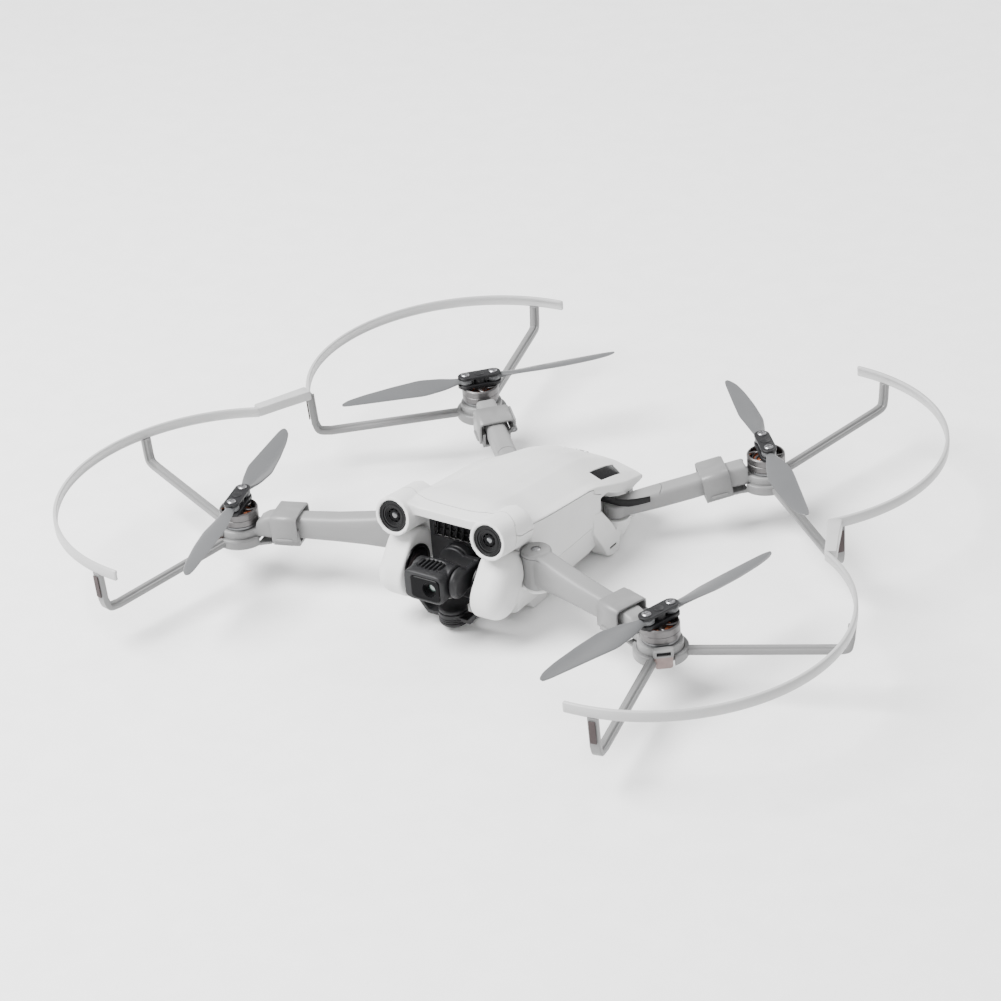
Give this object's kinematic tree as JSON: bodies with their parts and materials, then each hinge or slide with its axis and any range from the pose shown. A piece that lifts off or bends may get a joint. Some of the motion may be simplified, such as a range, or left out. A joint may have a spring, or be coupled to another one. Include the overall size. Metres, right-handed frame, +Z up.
{
  "type": "folding camera drone with propeller guards",
  "caption": "Small folding camera drone with a gimbal camera between rounded nose cheeks, folding propellers, slide-out battery and clip-on curved propeller guards.",
  "frame": {"origin": "on the ground, below the middle of the whole object, midway between the front and rear motors", "axes": "+Z up, the nose points along -Y, +X to the aircraft's left side"},
  "size_m": [0.399, 0.3198, 0.0624],
  "materials": {
    "shell_white": "fine matte",
    "arm_grey": "fine matte",
    "guard_grey": "satin",
    "black_plastic": "matte",
    "gloss_black": "gloss",
    "lens_glass": "coated glass",
    "soft_rubber": "matte",
    "bell_metal": "satin turned",
    "motor_base_metal": "satin",
    "winding_copper": "enamelled wire",
    "pin_steel": "brushed",
    "board_green": "solder mask",
    "sink_metal": "satin",
    "light_pipe": "frosted",
    "hub_black": "matte",
    "blade_grey": "satin"
  },
  "bodies": {
    "airframe": {"top_shell": "shell_white", "lower_shell": "shell_white", "cheek_left": "shell_white", "cheek_right": "shell_white", "landing_feet": "shell_white", "nose_grille": "black_plastic", "eye_barrels": "black_plastic", "eye_lenses": "lens_glass", "rear_sensor_windows": "gloss_black", "status_lights": "light_pipe", "tail_ports": "pin_steel", "main_board": "board_green", "cooling_module": "sink_metal", "satellite_antenna": "board_green", "belly_windows": "gloss_black", "front_arm_left": "arm_grey", "front_arm_right": "arm_grey", "rear_arm_left": "arm_grey", "rear_arm_right": "arm_grey", "rear_hinge_covers": "black_plastic", "motor_bases": "motor_base_metal", "motor_windings": "winding_copper", "gimbal_yoke": "black_plastic", "guard_frame_left": "guard_grey", "guard_ring_left": "guard_grey", "guard_frame_right": "guard_grey", "guard_ring_right": "guard_grey", "hinge_pins": "pin_steel", "rubber_pads": "soft_rubber"},
    "rotor_front_left": {"motor_bell_front_left": "bell_metal", "propeller_hub_front_left": "hub_black"},
    "blade_a_front_left": {"blade_a_front_left": "blade_grey"},
    "blade_b_front_left": {"blade_b_front_left": "blade_grey"},
    "strap_front_left": {"guard_strap_front_left": "guard_grey"},
    "rotor_front_right": {"motor_bell_front_right": "bell_metal", "propeller_hub_front_right": "hub_black"},
    "blade_a_front_right": {"blade_a_front_right": "blade_grey"},
    "blade_b_front_right": {"blade_b_front_right": "blade_grey"},
    "strap_front_right": {"guard_strap_front_right": "guard_grey"},
    "rotor_rear_left": {"motor_bell_rear_left": "bell_metal", "propeller_hub_rear_left": "hub_black"},
    "blade_a_rear_left": {"blade_a_rear_left": "blade_grey"},
    "blade_b_rear_left": {"blade_b_rear_left": "blade_grey"},
    "strap_rear_left": {"guard_strap_rear_left": "guard_grey"},
    "rotor_rear_right": {"motor_bell_rear_right": "bell_metal", "propeller_hub_rear_right": "hub_black"},
    "blade_a_rear_right": {"blade_a_rear_right": "blade_grey"},
    "blade_b_rear_right": {"blade_b_rear_right": "blade_grey"},
    "strap_rear_right": {"guard_strap_rear_right": "guard_grey"},
    "gimbal_pan": {"gimbal_pan_arm": "black_plastic"},
    "gimbal_roll": {"gimbal_roll_arm": "black_plastic"},
    "camera": {"camera_case": "black_plastic", "camera_window": "gloss_black", "camera_lens": "lens_glass"},
    "battery": {"battery_pack": "black_plastic", "battery_tail_cap": "arm_grey"},
    "latch_left": {"battery_latch_left": "arm_grey"},
    "latch_right": {"battery_latch_right": "arm_grey"},
    "button": {"power_button": "arm_grey"},
    "fan": {"fan_rotor": "black_plastic"}
  },
  "joints": [
    {"name": "spin_front_left", "type": "hinge", "parent": "airframe", "child": "rotor_front_left", "pos_m": [0.114, -0.076, 0.0335], "axis": [0, 0, 1], "continuous": true},
    {"name": "fold_a_front_left", "type": "hinge", "parent": "rotor_front_left", "child": "blade_a_front_left", "pos_m": [0.11205, -0.08272, 0.04055], "axis": [0, 0, 1], "range_deg": [-90, 90]},
    {"name": "fold_b_front_left", "type": "hinge", "parent": "rotor_front_left", "child": "blade_b_front_left", "pos_m": [0.11595, -0.06928, 0.04055], "axis": [0, 0, 1], "range_deg": [-90, 90]},
    {"name": "strap_hinge_front_left", "type": "hinge", "parent": "airframe", "child": "strap_front_left", "pos_m": [0.09246, -0.06058, 0.0307], "axis": [-0.9598, 0.2787, 0.033], "range_deg": [0, 165]},
    {"name": "spin_front_right", "type": "hinge", "parent": "airframe", "child": "rotor_front_right", "pos_m": [-0.114, -0.076, 0.0335], "axis": [0, 0, 1], "continuous": true},
    {"name": "fold_a_front_right", "type": "hinge", "parent": "rotor_front_right", "child": "blade_a_front_right", "pos_m": [-0.11595, -0.06928, 0.04055], "axis": [0, 0, 1], "range_deg": [-90, 90]},
    {"name": "fold_b_front_right", "type": "hinge", "parent": "rotor_front_right", "child": "blade_b_front_right", "pos_m": [-0.11205, -0.08272, 0.04055], "axis": [0, 0, 1], "range_deg": [-90, 90]},
    {"name": "strap_hinge_front_right", "type": "hinge", "parent": "airframe", "child": "strap_front_right", "pos_m": [-0.09246, -0.06058, 0.0307], "axis": [-0.9598, -0.2787, -0.033], "range_deg": [0, 165]},
    {"name": "spin_rear_left", "type": "hinge", "parent": "airframe", "child": "rotor_rear_left", "pos_m": [0.0805, 0.076, 0.0335], "axis": [0, 0, 1], "continuous": true},
    {"name": "fold_a_rear_left", "type": "hinge", "parent": "rotor_rear_left", "child": "blade_a_rear_left", "pos_m": [0.08524, 0.07085, 0.04055], "axis": [0, 0, 1], "range_deg": [-90, 90]},
    {"name": "fold_b_rear_left", "type": "hinge", "parent": "rotor_rear_left", "child": "blade_b_rear_left", "pos_m": [0.07576, 0.08115, 0.04055], "axis": [0, 0, 1], "range_deg": [-90, 90]},
    {"name": "strap_hinge_rear_left", "type": "hinge", "parent": "airframe", "child": "strap_rear_left", "pos_m": [0.05609, 0.06548, 0.02689], "axis": [-0.7251, -0.6679, -0.1676], "range_deg": [0, 165]},
    {"name": "spin_rear_right", "type": "hinge", "parent": "airframe", "child": "rotor_rear_right", "pos_m": [-0.0805, 0.076, 0.0335], "axis": [0, 0, 1], "continuous": true},
    {"name": "fold_a_rear_right", "type": "hinge", "parent": "rotor_rear_right", "child": "blade_a_rear_right", "pos_m": [-0.07576, 0.08115, 0.04055], "axis": [0, 0, 1], "range_deg": [-90, 90]},
    {"name": "fold_b_rear_right", "type": "hinge", "parent": "rotor_rear_right", "child": "blade_b_rear_right", "pos_m": [-0.08524, 0.07085, 0.04055], "axis": [0, 0, 1], "range_deg": [-90, 90]},
    {"name": "strap_hinge_rear_right", "type": "hinge", "parent": "airframe", "child": "strap_rear_right", "pos_m": [-0.05609, 0.06548, 0.02689], "axis": [-0.7251, 0.6679, 0.1676], "range_deg": [0, 165]},
    {"name": "camera_pan", "type": "hinge", "parent": "airframe", "child": "gimbal_pan", "pos_m": [0, -0.07, 0.0101], "axis": [0, 0, 1], "range_deg": [-13, 13]},
    {"name": "camera_roll", "type": "hinge", "parent": "gimbal_pan", "child": "gimbal_roll", "pos_m": [0, -0.0657, 0.0312], "axis": [0, 1, 0], "range_deg": [-135, 45]},
    {"name": "camera_tilt", "type": "hinge", "parent": "gimbal_roll", "child": "camera", "pos_m": [0.0114, -0.08, 0.0312], "axis": [-1, 0, 0], "range_deg": [-90, 60]},
    {"name": "battery_slide", "type": "slide", "parent": "airframe", "child": "battery", "axis": [0, 1, 0], "range_m": [0, 0.08]},
    {"name": "battery_latch_left", "type": "slide", "parent": "battery", "child": "latch_left", "axis": [-1, 0, 0], "range_m": [0, 0.0012], "stiffness_N_per_m": 400},
    {"name": "battery_latch_right", "type": "slide", "parent": "battery", "child": "latch_right", "axis": [1, 0, 0], "range_m": [0, 0.0012], "stiffness_N_per_m": 400},
    {"name": "power_button_press", "type": "slide", "parent": "airframe", "child": "button", "axis": [0, -0.5458, -0.8379], "range_m": [0, 0.0004], "stiffness_N_per_m": 1200},
    {"name": "fan_spin", "type": "hinge", "parent": "airframe", "child": "fan", "pos_m": [0, -0.036, 0.037], "axis": [0, 0, 1], "continuous": true}
  ]
}
